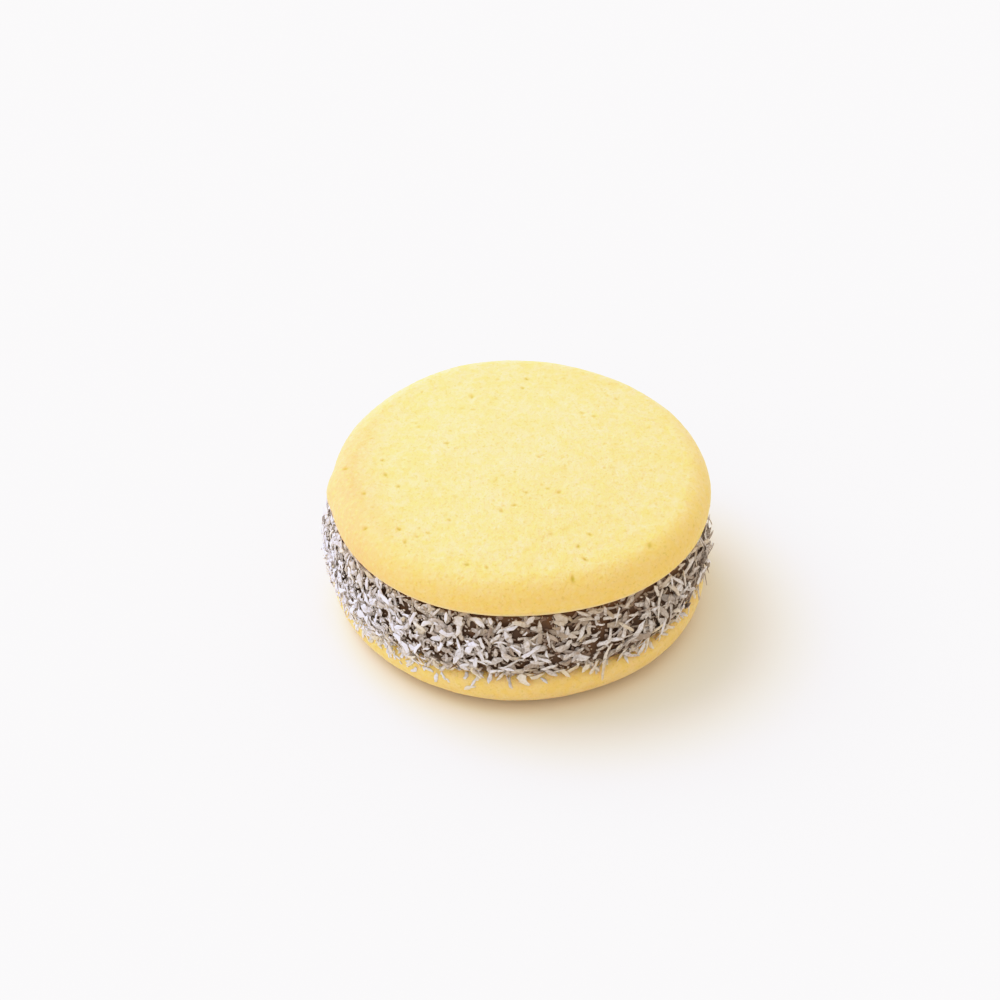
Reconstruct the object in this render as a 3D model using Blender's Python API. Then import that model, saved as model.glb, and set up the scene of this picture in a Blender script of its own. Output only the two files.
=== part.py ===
"""A cornstarch alfajor: two round biscuits with a thick caramel filling between them.

The side of the filling is rolled in coconut flakes, which are fused to it. Metres, +Z up. The origin is
the centre of the flat spot that the lower biscuit rests on, so the alfajor stands on z = 0.
"""

import math
import random

import bmesh
import bpy
from mathutils import Matrix, Vector

MM = 0.001
MERGE = 0.0001 * MM

# Finishes: (colour, roughness)
BISCUIT_FINISH = ((0.86, 0.62, 0.17), 0.85)
CARAMEL_FINISH = ((0.055, 0.018, 0.008), 0.3)
COCONUT_FINISH = ((0.72, 0.70, 0.70), 0.6)
BISCUIT_SHARP = 40
FILLING_SHARP = 30

# Biscuits: each has a flat side towards the filling, a rounded edge, a rounded shoulder and a low dome
TOP_RADIUS = 32.5 * MM
BOTTOM_RADIUS = 32.0 * MM
EDGE_ROUNDING = 2.8 * MM
SHOULDER_ROUNDING = 4.6 * MM
TOP_CROWN = 8.9 * MM
BOTTOM_CROWN = 8.7 * MM
REST_SPOT_RADIUS = 14.0 * MM
BISCUIT_SIDES = 48
EDGE_STEPS = 4
SHOULDER_STEPS = 4
DOME_STEPS = 4

# Unevenness of each outline: (waves round the edge, height, bearing of a crest in degrees)
TOP_WAVES = ((3, 0.37 * MM, -22.5), (5, 0.14 * MM, 29.0))
BOTTOM_WAVES = ((3, 0.09 * MM, 32.0), (5, 0.10 * MM, -33.0))

# Filling: widest at its belly, drawn in at its foot and neck
FILLING_SPACE = 12.1 * MM
GAP = 0.3 * MM
FOOT_RADIUS = 31.0 * MM
BELLY_RADIUS = 31.9 * MM
NECK_RADIUS = 30.2 * MM
BELLY_SHARE = 0.33
RIM_ROUNDING = 0.5 * MM
FILLING_SIDES = 48
WALL_STEPS = 6

# Coconut flakes: each has its root sunk in the filling's side and its other end free
FLAKE_SEED = 7
FLAKE_THICKNESS = 0.4 * MM
FLAKE_SINK = 0.24 * MM
FLAKE_BOW = 0.16 * MM
FLAKE_CLEARANCE = 0.42 * MM
FLAKE_REACH = 33.8 * MM
POINTED_SHARE = 0.5
BLUNT_END = 0.6
POINTED_CUT = 0.22
FIT_ATTEMPTS = 8

# The flakes that cover the side, one to each cell of a staggered grid
SIDE_ROWS = 4
SIDE_COLUMNS = 72
SIDE_SCATTER = 0.36
SIDE_LENGTH = (2.6 * MM, 4.2 * MM)
SIDE_WIDTH = (0.8 * MM, 1.35 * MM)
SIDE_LIFT = (math.radians(3), math.radians(26))
SIDE_MARGIN = 0.7 * MM

# The flakes that hang from the filling's foot over the lower biscuit's edge
SKIRT_COUNT = 46
SKIRT_LENGTH = (2.4 * MM, 3.6 * MM)
SKIRT_WIDTH = (0.6 * MM, 1.0 * MM)
SKIRT_LIFT = (math.radians(20), math.radians(34))
SKIRT_SPREAD = math.radians(42)
SKIRT_HEIGHT = (0.9 * MM, 2.0 * MM)
SKIRT_SCATTER = 0.3


def clear_scene():
    """Removes what the scene already holds."""
    for obj in list(bpy.data.objects):
        bpy.data.objects.remove(obj, do_unlink=True)


def material(name, finish):
    """A plain, non-metallic material."""
    colour, roughness = finish
    made = bpy.data.materials.new(name)
    made.use_nodes = True
    shader = made.node_tree.nodes["Principled BSDF"]
    shader.inputs["Base Color"].default_value = (*colour, 1.0)
    shader.inputs["Roughness"].default_value = roughness
    shader.inputs["Metallic"].default_value = 0.0
    return made


def wave_height(waves, bearing):
    """How far an uneven outline stands out of its circle at a bearing."""
    return sum(h * math.cos(n * (bearing - math.radians(crest))) for n, h, crest in waves)


def dome_radius(radius, crown):
    """Radius of the sphere that meets the shoulder smoothly and peaks at the crown."""
    rise = crown - EDGE_ROUNDING
    across = radius - SHOULDER_ROUNDING
    return (across**2 + rise**2 - SHOULDER_ROUNDING**2) / (2 * (rise - SHOULDER_ROUNDING))


def dome_height(radius, crown, out):
    """Height of the dome over the flat side, this far out from the axis."""
    sphere = dome_radius(radius, crown)
    return crown - sphere + math.sqrt(sphere**2 - out**2)


# Heights of the two flat sides that face the filling
LOWER_FACE = dome_height(BOTTOM_RADIUS, BOTTOM_CROWN, REST_SPOT_RADIUS)
UPPER_FACE = LOWER_FACE + FILLING_SPACE


def biscuit_profile(radius, crown, spot_radius):
    """Points (radius, height) from the middle of the flat side round to the middle of the dome."""
    across = radius - SHOULDER_ROUNDING
    slope = math.asin(across / (dome_radius(radius, crown) - SHOULDER_ROUNDING))
    points = [(0.0, 0.0)]
    for step in range(EDGE_STEPS + 1):
        turn = math.pi / 2 * step / EDGE_STEPS
        out = radius - EDGE_ROUNDING + EDGE_ROUNDING * math.sin(turn)
        points.append((out, EDGE_ROUNDING - EDGE_ROUNDING * math.cos(turn)))
    for step in range(1, SHOULDER_STEPS + 1):
        turn = (math.pi / 2 - slope) * step / SHOULDER_STEPS
        out = across + SHOULDER_ROUNDING * math.cos(turn)
        points.append((out, EDGE_ROUNDING + SHOULDER_ROUNDING * math.sin(turn)))
    start = points[-1][0]
    for step in range(1, DOME_STEPS + 1):
        out = start + (spot_radius - start) * step / DOME_STEPS
        points.append((out, dome_height(radius, crown, out)))
    if spot_radius > 0:
        points.append((0.0, points[-1][1]))
    return points


def turned(name, profile, sides):
    """A closed solid of revolution about Z from points that start and end on the axis."""
    mesh = bmesh.new()
    points = [mesh.verts.new((out, 0.0, height)) for out, height in profile]
    edges = [mesh.edges.new(pair) for pair in zip(points, points[1:])]
    bmesh.ops.spin(
        mesh,
        geom=points + edges,
        cent=(0, 0, 0),
        axis=(0, 0, 1),
        angle=2 * math.pi,
        steps=sides,
        use_merge=True,
    )
    bmesh.ops.remove_doubles(mesh, verts=mesh.verts, dist=MERGE)
    bmesh.ops.recalc_face_normals(mesh, faces=mesh.faces)
    data = bpy.data.meshes.new(name)
    mesh.to_mesh(data)
    mesh.free()
    return data


def add_object(name, data, finish):
    """Links an object with this mesh and material to the scene."""
    obj = bpy.data.objects.new(name, data)
    data.materials.append(finish)
    bpy.context.scene.collection.objects.link(obj)
    return obj


def shade(obj, sharp_angle):
    """Smooth shading with edges sharper than the angle kept crisp."""
    obj.data.shade_smooth()
    obj.data.set_sharp_from_angle(angle=math.radians(sharp_angle))


def make_biscuit(name, sizes, waves, finish, flat_side, points_up):
    """One biscuit with its flat side at a height, its dome pointing up or down."""
    radius, crown, spot_radius = sizes
    data = turned(name, biscuit_profile(radius, crown, spot_radius), BISCUIT_SIDES)
    for vertex in data.vertices:
        out = math.hypot(vertex.co.x, vertex.co.y)
        if out > spot_radius:
            bearing = math.atan2(vertex.co.y, vertex.co.x)
            share = (out - spot_radius) / (radius - spot_radius)
            scale = 1 + wave_height(waves, bearing) * share / out
            vertex.co.x *= scale
            vertex.co.y *= scale
    if not points_up:
        data.transform(Matrix.Diagonal((1, 1, -1, 1)))
        data.flip_normals()
    biscuit = add_object(name, data, finish)
    biscuit.location.z = flat_side
    shade(biscuit, BISCUIT_SHARP)


def wall_radius(height):
    """Radius of the filling's side at a height above the floor."""
    share = (height - LOWER_FACE) / FILLING_SPACE
    if share < BELLY_SHARE:
        return BELLY_RADIUS - (BELLY_RADIUS - FOOT_RADIUS) * (1 - share / BELLY_SHARE) ** 2
    return BELLY_RADIUS - (BELLY_RADIUS - NECK_RADIUS) * ((share - BELLY_SHARE) / (1 - BELLY_SHARE)) ** 2


def filling_profile():
    """Points (radius, height) of the filling from the axis below to the axis above."""
    low = LOWER_FACE + GAP
    high = UPPER_FACE - GAP
    points = [(0.0, low), (wall_radius(low) - RIM_ROUNDING, low)]
    for step in range(WALL_STEPS + 1):
        height = low + RIM_ROUNDING + (high - low - 2 * RIM_ROUNDING) * step / WALL_STEPS
        points.append((wall_radius(height), height))
    return points + [(wall_radius(high) - RIM_ROUNDING, high), (0.0, high)]


def clearance(point):
    """Distance from a point outside the biscuits to the nearer biscuit."""
    bearing = math.atan2(point.y, point.x)
    out = math.hypot(point.x, point.y)
    distances = []
    for radius, waves, above in (
        (BOTTOM_RADIUS, BOTTOM_WAVES, point.z - LOWER_FACE),
        (TOP_RADIUS, TOP_WAVES, UPPER_FACE - point.z),
    ):
        edge = radius + wave_height(waves, bearing) - EDGE_ROUNDING
        if out <= edge:
            distances.append(above)
        elif above >= -EDGE_ROUNDING:
            distances.append(math.hypot(out - edge, above + EDGE_ROUNDING) - EDGE_ROUNDING)
        else:
            distances.append(out - edge - EDGE_ROUNDING)
    return min(distances)


def flake_mesh(name, length, width, pointed, bow):
    """A thin strip along X with its underside on z = 0: bowed and pointed, or straight with blunt ends."""
    mesh = bmesh.new()
    bmesh.ops.create_cube(mesh, size=1.0)
    if pointed:
        for cut in (-POINTED_CUT, POINTED_CUT):
            bmesh.ops.bisect_plane(
                mesh,
                geom=mesh.verts[:] + mesh.edges[:] + mesh.faces[:],
                plane_co=(cut, 0, 0),
                plane_no=(1, 0, 0),
            )
    for vertex in mesh.verts:
        at_end = abs(vertex.co.x) > (POINTED_CUT + 0.5) / 2
        if at_end and pointed:
            vertex.co.y = 0.0
            vertex.co.z = -0.5
        elif at_end:
            vertex.co.y *= BLUNT_END + (1 - BLUNT_END) * (vertex.co.x > 0)
        vertex.co.z = (vertex.co.z + 0.5) * FLAKE_THICKNESS + (0.0 if at_end else bow)
        vertex.co.x *= length
        vertex.co.y *= width
    bmesh.ops.remove_doubles(mesh, verts=mesh.verts, dist=MERGE)
    data = bpy.data.meshes.new(name)
    mesh.to_mesh(data)
    mesh.free()
    return data


def flake_place(bearing, height, turn, lift, length):
    """Matrix that sinks a flake's root in the filling's side and lifts its other end off it."""
    step = 0.1 * MM
    slope = (wall_radius(height + step) - wall_radius(height - step)) / (2 * step)
    outward = Vector((math.cos(bearing), math.sin(bearing), -slope)).normalized()
    round_wall = Vector((-math.sin(bearing), math.cos(bearing), 0.0))
    up_wall = outward.cross(round_wall)
    level = round_wall * math.cos(turn) + up_wall * math.sin(turn)
    along = level * math.cos(lift) + outward * math.sin(lift)
    across = outward.cross(along).normalized()
    frame = Matrix((along, across, along.cross(across))).transposed().to_4x4()
    out = wall_radius(height)
    anchor = Vector((out * math.cos(bearing), out * math.sin(bearing), height))
    return Matrix.Translation(anchor - outward * FLAKE_SINK + along * length / 2) @ frame


def flake_fits(data, place):
    """Whether a placed flake keeps clear of both biscuits and inside the coconut's reach."""
    for vertex in data.vertices:
        point = place @ vertex.co
        if clearance(point) < FLAKE_CLEARANCE or math.hypot(point.x, point.y) > FLAKE_REACH:
            return False
    return True


def between(limits, share):
    """The value a share of the way from one limit to the other."""
    return limits[0] + (limits[1] - limits[0]) * share


def add_flake(collection, finish, draw, place_values, length, width):
    """Adds a flake to the collection, turned towards the level until it fits, or leaves it out."""
    bearing, height, turn, lift = place_values
    name = f"flake_{len(collection.objects)}"
    data = flake_mesh(name, length, width, draw.random() < POINTED_SHARE, FLAKE_BOW * draw.random())
    level = 0.0 if abs(turn) < math.pi / 2 else math.copysign(math.pi, turn)
    for attempt in range(FIT_ATTEMPTS):
        share = attempt / FIT_ATTEMPTS
        place = flake_place(bearing, height, turn + (level - turn) * share, lift, length)
        if flake_fits(data, place):
            data.materials.append(finish)
            data.transform(place)
            collection.objects.link(bpy.data.objects.new(name, data))
            return
    bpy.data.meshes.remove(data)


def add_side_flakes(collection, finish, draw):
    """Covers the whole side with flakes, each off the middle of its cell by a random step."""
    low = LOWER_FACE + SIDE_MARGIN
    high = UPPER_FACE - SIDE_MARGIN
    for row in range(SIDE_ROWS):
        for column in range(SIDE_COLUMNS):
            across = column + row % 2 / 2 + draw.uniform(-SIDE_SCATTER, SIDE_SCATTER)
            upward = row + 0.5 + draw.uniform(-SIDE_SCATTER, SIDE_SCATTER)
            bearing = 2 * math.pi * across / SIDE_COLUMNS
            height = low + (high - low) * upward / SIDE_ROWS
            turn = draw.uniform(-math.pi, math.pi)
            lift = between(SIDE_LIFT, draw.random())
            length = between(SIDE_LENGTH, draw.random())
            width = between(SIDE_WIDTH, draw.random())
            add_flake(collection, finish, draw, (bearing, height, turn, lift), length, width)


def add_skirt_flakes(collection, finish, draw):
    """Hangs flakes from the foot of the side, over the lower biscuit's edge."""
    for number in range(SKIRT_COUNT):
        bearing = 2 * math.pi * (number + draw.uniform(-SKIRT_SCATTER, SKIRT_SCATTER)) / SKIRT_COUNT
        height = LOWER_FACE + between(SKIRT_HEIGHT, draw.random())
        turn = -math.pi / 2 + draw.uniform(-SKIRT_SPREAD, SKIRT_SPREAD)
        lift = between(SKIRT_LIFT, draw.random())
        length = between(SKIRT_LENGTH, draw.random())
        width = between(SKIRT_WIDTH, draw.random())
        add_flake(collection, finish, draw, (bearing, height, turn, lift), length, width)


def keep_largest_body(data):
    """Drops loose scraps and fills sealed hollows, both of which are shells of their own."""
    mesh = bmesh.new()
    mesh.from_mesh(data)
    unseen = set(mesh.verts)
    shells = []
    while unseen:
        shell = [unseen.pop()]
        for vertex in shell:
            for edge in vertex.link_edges:
                other = edge.other_vert(vertex)
                if other in unseen:
                    unseen.remove(other)
                    shell.append(other)
        shells.append(shell)
    shells.sort(key=len)
    for shell in shells[:-1]:
        bmesh.ops.delete(mesh, geom=shell, context="VERTS")
    mesh.to_mesh(data)
    mesh.free()


def make_filling(caramel, coconut):
    """The caramel disc with the coconut flakes fused to its side."""
    data = turned("filling", filling_profile(), FILLING_SIDES)
    filling = add_object("filling", data, caramel)
    data.materials.append(coconut)
    flakes = bpy.data.collections.new("flakes")
    bpy.context.scene.collection.children.link(flakes)
    draw = random.Random(FLAKE_SEED)
    add_side_flakes(flakes, coconut, draw)
    add_skirt_flakes(flakes, coconut, draw)
    union = filling.modifiers.new("coconut", "BOOLEAN")
    union.operation = "UNION"
    union.solver = "MANIFOLD"
    union.operand_type = "COLLECTION"
    union.collection = flakes
    bpy.context.view_layer.objects.active = filling
    bpy.ops.object.modifier_apply(modifier=union.name)
    for flake in list(flakes.objects):
        bpy.data.objects.remove(flake, do_unlink=True)
    bpy.data.collections.remove(flakes)
    keep_largest_body(filling.data)
    shade(filling, FILLING_SHARP)


def main():
    """Builds the three pieces."""
    clear_scene()
    crumb = material("biscuit", BISCUIT_FINISH)
    caramel = material("caramel", CARAMEL_FINISH)
    coconut = material("coconut", COCONUT_FINISH)
    lower = (BOTTOM_RADIUS, BOTTOM_CROWN, REST_SPOT_RADIUS)
    upper = (TOP_RADIUS, TOP_CROWN, 0.0)
    make_biscuit("bottom_biscuit", lower, BOTTOM_WAVES, crumb, LOWER_FACE, points_up=False)
    make_filling(caramel, coconut)
    make_biscuit("top_biscuit", upper, TOP_WAVES, crumb, UPPER_FACE, points_up=True)


if __name__ == "__main__":
    main()
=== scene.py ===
"""The looks of a cornstarch alfajor: two pale biscuits, a dark caramel filling and its coat of coconut.

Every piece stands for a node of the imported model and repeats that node's sizes. Metres, +Z up, and the
viewer stands at -Y.
"""

import logging
import math
import random
from dataclasses import dataclass, replace
from enum import Enum

import bmesh
import bpy
import numpy as np
from mathutils import Matrix, Vector, noise


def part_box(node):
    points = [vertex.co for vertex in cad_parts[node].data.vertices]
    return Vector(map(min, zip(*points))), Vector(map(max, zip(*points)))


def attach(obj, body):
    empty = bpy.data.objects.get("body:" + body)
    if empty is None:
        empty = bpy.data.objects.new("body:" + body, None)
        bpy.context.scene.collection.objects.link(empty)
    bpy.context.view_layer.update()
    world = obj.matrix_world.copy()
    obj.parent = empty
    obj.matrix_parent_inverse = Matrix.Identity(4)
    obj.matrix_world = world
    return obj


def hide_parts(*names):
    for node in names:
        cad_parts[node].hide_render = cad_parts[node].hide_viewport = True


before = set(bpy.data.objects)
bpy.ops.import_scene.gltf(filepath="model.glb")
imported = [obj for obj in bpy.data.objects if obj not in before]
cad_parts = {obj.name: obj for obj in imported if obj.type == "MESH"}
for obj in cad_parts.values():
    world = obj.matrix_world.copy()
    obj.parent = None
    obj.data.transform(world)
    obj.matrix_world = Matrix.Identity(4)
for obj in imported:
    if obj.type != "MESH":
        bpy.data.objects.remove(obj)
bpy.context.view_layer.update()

log = logging.getLogger("alfajor")

MM = 0.001
BODY = "root"

# Where the upper biscuit's conspicuous pores lie, in millimetres from its middle
LARGE_PORES = (
    (-23.3, 1.0), (-22.5, -3.0), (-20.4, -6.3), (-26.2, -7.6), (-19.8, -16.9), (-29.3, -0.4),
    (-25.5, -16.0), (-8.5, -26.0), (9.9, -21.8), (11.0, -24.8), (9.0, -29.0), (0.6, 20.7),
)

Colour = tuple[float, float, float]
Span = tuple[float, float]
Socket = bpy.types.NodeSocket
Value = Socket | Colour | float


class Facing(Enum):
    """Which way a biscuit's dome points."""

    UP = 1
    DOWN = -1


class FlakeKind(Enum):
    """The kinds of coconut, each a piece of its own."""

    FLAKE = "flakes"
    STRAND = "strands"
    SHARD = "shards"
    CRUMB = "crumbs"


def between(span: Span, share: float) -> float:
    """The value a share of the way through a span."""
    return span[0] + (span[1] - span[0]) * share


def swing(draw: random.Random, reach: float) -> float:
    """A random value within reach of 0 to either side."""
    return draw.uniform(-reach, reach)


def ramp(values: np.ndarray, start: float, end: float) -> np.ndarray:
    """Shares that rise from 0 at the start to 1 at the end."""
    return np.clip((values - start) / (end - start), 0, 1)


def polar(bearing: float, out: float, height: float) -> Vector:
    """The point at a bearing, a distance from the axis and a height."""
    return Vector((out * math.cos(bearing), out * math.sin(bearing), height))


def polar_points(bearing: np.ndarray, out: np.ndarray, height: np.ndarray) -> np.ndarray:
    """The points at many bearings, distances from the axis and heights."""
    return np.stack((out * np.cos(bearing), out * np.sin(bearing), height), axis=1)


def round_axis(bearing: float) -> Vector:
    """The level direction that leads round the axis at a bearing."""
    return Vector((-math.sin(bearing), math.cos(bearing), 0.0))


def moved(points: np.ndarray, place: Matrix) -> np.ndarray:
    """Points put in place by a matrix."""
    matrix = np.array(place)
    return points @ matrix[:3, :3].T + matrix[:3, 3]


def mesh_data(mesh: bmesh.types.BMesh, name: str) -> bpy.types.Mesh:
    """Turns a working mesh into mesh data.

    Args:
        mesh: the working mesh, which is freed.
        name: the data's name.

    Returns:
        The mesh data.
    """
    data = bpy.data.meshes.new(name)
    mesh.to_mesh(data)
    mesh.free()
    return data


@dataclass(frozen=True)
class Grain:
    """Noise in a finish: the width of a grain, how many finer layers it has, and which pattern it is."""

    size: float
    detail: float
    seed: float


@dataclass(frozen=True)
class Mottle(Grain):
    """Blotches: the noise between start and end is spread smoothly over 0 to strength."""

    start: float
    end: float
    strength: float = 1.0


@dataclass(frozen=True)
class Bump(Grain):
    """Fine relief that is too small for the mesh, and its full depth."""

    depth: float


class NodeGraph:
    """The node tree of a material or a world."""

    def __init__(self, owner: bpy.types.Material | bpy.types.World) -> None:
        """Starts on the owner's own nodes."""
        owner.use_nodes = True
        self.tree = owner.node_tree

    def node(self, kind: str) -> bpy.types.Node:
        """A new node of a kind."""
        return self.tree.nodes.new(f"ShaderNode{kind}")

    def feed(self, node: bpy.types.Node, values: dict[str | int, Value]) -> None:
        """Links an output to each of a node's inputs, or sets the input to a fixed value.

        Args:
            node: the node.
            values: an output, a number or a colour for each input, which goes by its name or number.
        """
        for name, value in values.items():
            socket = node.inputs[name]
            if isinstance(value, Socket):
                self.tree.links.new(value, socket)
            else:
                socket.default_value = (*value, 1.0) if socket.type == "RGBA" else value

    def layered(self, base: Colour, layers: tuple[tuple[Socket, Colour], ...]) -> Socket:
        """Lays colours over each other.

        Args:
            base: the lowest colour.
            layers: how much each next layer shows, and its colour.

        Returns:
            The mixed colour.
        """
        mixed = base
        for share, colour in layers:
            mix = self.node("Mix")
            mix.data_type = "RGBA"
            self.feed(mix, {0: share, 6: mixed, 7: colour})
            mixed = mix.outputs[2]
        return mixed


class FinishGraph(NodeGraph):
    """The node tree of one material, with short calls for the nodes that the finishes share."""

    def __init__(self, name: str) -> None:
        """Starts a material that holds one Principled BSDF.

        Args:
            name: the material's name.
        """
        self.material = bpy.data.materials.new(name)
        super().__init__(self.material)
        self.shader = self.tree.nodes["Principled BSDF"]
        self.place = self.node("TexCoord").outputs["Object"]

    def attribute(self, name: str) -> Socket:
        """The value of one of the mesh's own attributes.

        Args:
            name: the attribute's name.

        Returns:
            The value.
        """
        node = self.node("Attribute")
        node.attribute_name = name
        return node.outputs["Fac"]

    def combine(self, operation: str, first: Socket, second: Socket) -> Socket:
        """The sum, difference or product of two values.

        Args:
            operation: the Math node's operation.
            first: one value.
            second: the other value.

        Returns:
            The result, kept within 0 and 1.
        """
        node = self.node("Math")
        node.operation = operation
        node.use_clamp = True
        self.feed(node, {0: first, 1: second})
        return node.outputs[0]

    def noise(self, grain: Grain) -> Socket:
        """Noise of a size and pattern.

        Args:
            grain: the size and the pattern.

        Returns:
            The noise, about 0.5 on average.
        """
        node = self.node("TexNoise")
        node.noise_dimensions = "4D"
        self.feed(node, {"Scale": 1 / grain.size, "Detail": grain.detail, "W": grain.seed})
        self.feed(node, {"Vector": self.place})
        return node.outputs["Fac"]

    def mottle(self, mottle: Mottle) -> Socket:
        """Blotches, as a share of how strongly they show.

        Args:
            mottle: what they are like.

        Returns:
            The share.
        """
        node = self.node("MapRange")
        node.interpolation_type = "SMOOTHSTEP"
        self.feed(node, {"Value": self.noise(mottle), "To Max": mottle.strength})
        self.feed(node, {"From Min": mottle.start, "From Max": mottle.end})
        return node.outputs["Result"]

    def bump(self, bump: Bump, under: Socket | None = None) -> Socket:
        """Fine relief.

        Args:
            bump: what it is like.
            under: another bump that it lies on.

        Returns:
            The normal.
        """
        node = self.node("Bump")
        self.feed(node, {"Distance": bump.depth, "Height": self.noise(bump)})
        if under:
            self.feed(node, {"Normal": under})
        return node.outputs["Normal"]


@dataclass(frozen=True)
class BiscuitFinish:
    """Dry, matt crumb of a pale butter yellow, golden where it browned."""

    pale: Colour = (0.82, 0.570, 0.275)
    deep: Colour = (0.80, 0.535, 0.155)
    golden: Colour = (0.80, 0.520, 0.105)
    peach: Colour = (0.80, 0.425, 0.175)
    # Flour dusting, and the painted highlight along the foot of the edge
    flour_and_foot_highlight: Colour = (0.83, 0.620, 0.370)
    # The pits' own darker yellow, with painted shade in them that deepens with their depth
    pore_and_shade: Colour = (0.50, 0.362, 0.018)
    patches: Mottle = Mottle(4.0 * MM, 4.0, 0.0, 0.40, 0.66, 0.45)
    flour: Mottle = Mottle(1.9 * MM, 3.0, 8.0, 0.50, 0.72, 0.40)
    mottling: Mottle = Mottle(0.85 * MM, 3.0, 3.0, 0.44, 0.68, 0.45)
    toasting: Mottle = Mottle(1.3 * MM, 4.0, 21.0, 0.46, 0.62, 0.45)
    unevenness: Mottle = Mottle(0.7 * MM, 4.0, 5.0, 0.10, 0.60)
    specks: Mottle = Mottle(0.50 * MM, 1.0, 11.0, 0.56, 0.74, 0.35)
    coarse: Bump = Bump(1.2 * MM, 3.0, 14.0, 0.24 * MM)
    fine: Bump = Bump(0.42 * MM, 3.0, 17.0, 0.11 * MM)
    roughness: float = 0.6
    specular: float = 0.35
    sheen: float = 0.15
    sheen_roughness: float = 0.5
    sheen_tint: Colour = (1.0, 0.97, 0.90)
    glow: float = 0.5
    glow_reach: float = 2.5 * MM
    glow_colour: Colour = (1.0, 0.6, 0.25)

    def material(self) -> bpy.types.Material:
        """Makes the material.

        Returns:
            The material, which reads the attributes outer, browning, blush, foot and pore; foot is a painted
            highlight.
        """
        graph = FinishGraph("biscuit_crumb")
        uneven = graph.mottle(self.unevenness)
        layers = (
            (graph.mottle(self.patches), self.deep),
            (graph.mottle(self.flour), self.flour_and_foot_highlight),
            (graph.mottle(self.mottling), self.deep),
            (graph.combine("MULTIPLY", graph.mottle(self.toasting), graph.attribute("outer")), self.golden),
            # Golden browning; on the upper biscuit's front right it is partly painted shade
            (graph.combine("MULTIPLY", graph.attribute("browning_and_shade"), uneven), self.golden),
            (graph.combine("MULTIPLY", graph.attribute("blush"), uneven), self.peach),
            # A pale band along the underside of the edge: painted highlight where it turns under
            (graph.attribute("foot"), self.flour_and_foot_highlight),
            # Specks, and the pits darker the deeper they are: their colour and painted shade
            (graph.combine("ADD", graph.mottle(self.specks), graph.attribute("pore_and_shade")), self.pore_and_shade),
        )
        values = {
            "Base Color": graph.layered(self.pale, layers),
            "Normal": graph.bump(self.fine, graph.bump(self.coarse)),
            "Roughness": self.roughness,
            "Specular IOR Level": self.specular,
            "Sheen Weight": self.sheen,
            "Sheen Roughness": self.sheen_roughness,
            "Sheen Tint": self.sheen_tint,
            "Subsurface Weight": self.glow,
            "Subsurface Scale": self.glow_reach,
            "Subsurface Radius": self.glow_colour,
        }
        graph.feed(graph.shader, values)
        return graph.material


@dataclass(frozen=True)
class CaramelFinish:
    """Dark, moist milk caramel that glows orange-brown where it is thin."""

    dark: Colour = (0.062, 0.030, 0.018)
    warm: Colour = (0.14, 0.060, 0.022)
    patches: Mottle = Mottle(2.2 * MM, 2.0, 0.0, 0.40, 0.75, 0.6)
    ripples: Bump = Bump(1.3 * MM, 2.0, 2.0, 0.12 * MM)
    roughness: float = 0.4
    specular: float = 0.2
    coat: float = 0.05
    coat_roughness: float = 0.15

    def material(self) -> bpy.types.Material:
        """Makes the material.

        Returns:
            The material, which reads the attribute thin.
        """
        graph = FinishGraph("caramel")
        glow = graph.combine("ADD", graph.mottle(self.patches), graph.attribute("thin"))
        values = {
            "Base Color": graph.layered(self.dark, ((glow, self.warm),)),
            "Normal": graph.bump(self.ripples),
            "Roughness": self.roughness,
            "Specular IOR Level": self.specular,
            "Coat Weight": self.coat,
            "Coat Roughness": self.coat_roughness,
        }
        graph.feed(graph.shader, values)
        return graph.material


@dataclass(frozen=True)
class CoconutFinish:
    """Dry shaved coconut, from bluish white to cream, a little translucent."""

    # The dark end of the tone: grey flakes at random, and painted shade on flakes deep in the coat
    grey_and_depth_shade: Colour = (0.30, 0.245, 0.225)
    white: Colour = (0.77, 0.722, 0.755)
    cream: Colour = (0.74, 0.58, 0.37)
    # The brown of caramel a flake took up, also used as painted shade under the rim
    soaked_and_rim_shadow: Colour = (0.17, 0.090, 0.060)
    fibre: Mottle = Mottle(0.45 * MM, 4.0, 0.0, 0.35, 0.7, 0.45)
    fuzz: Bump = Bump(0.22 * MM, 2.0, 4.0, 0.04 * MM)
    roughness: float = 0.55
    specular: float = 0.4
    translucence: float = 0.35
    reach: float = 0.5 * MM
    reach_colour: Colour = (1.0, 0.95, 0.9)

    def material(self) -> bpy.types.Material:
        """Makes the material.

        Returns:
            The material, which reads the attributes tone, warmth and soaking of each flake; these also carry
            painted shade and light.
        """
        graph = FinishGraph("coconut")
        layers = (
            (graph.combine("SUBTRACT", graph.attribute("tone"), graph.mottle(self.fibre)), self.white),
            (graph.attribute("warmth"), self.cream),
            (graph.attribute("soaking"), self.soaked_and_rim_shadow),
        )
        values = {
            "Base Color": graph.layered(self.grey_and_depth_shade, layers),
            "Normal": graph.bump(self.fuzz),
            "Roughness": self.roughness,
            "Specular IOR Level": self.specular,
            "Subsurface Weight": self.translucence,
            "Subsurface Scale": self.reach,
            "Subsurface Radius": self.reach_colour,
        }
        graph.feed(graph.shader, values)
        return graph.material


@dataclass(frozen=True)
class Wave:
    """Unevenness of an outline: how many waves, their height, and one crest's bearing in degrees."""

    count: int
    height: float
    crest: float

    def at(self, bearing: np.ndarray) -> np.ndarray:
        """How far the outline stands out of its circle."""
        return self.height * np.cos(self.count * (bearing - math.radians(self.crest)))


@dataclass(frozen=True)
class Relief:
    """Noise that raises and lowers a surface."""

    grain: float
    height: float
    seed: float

    def at(self, points: np.ndarray) -> np.ndarray:
        """The height at each of many points, up or down."""
        spots = points / self.grain + self.seed
        return self.height * np.array([noise.noise(spot) for spot in spots.tolist()])


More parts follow.
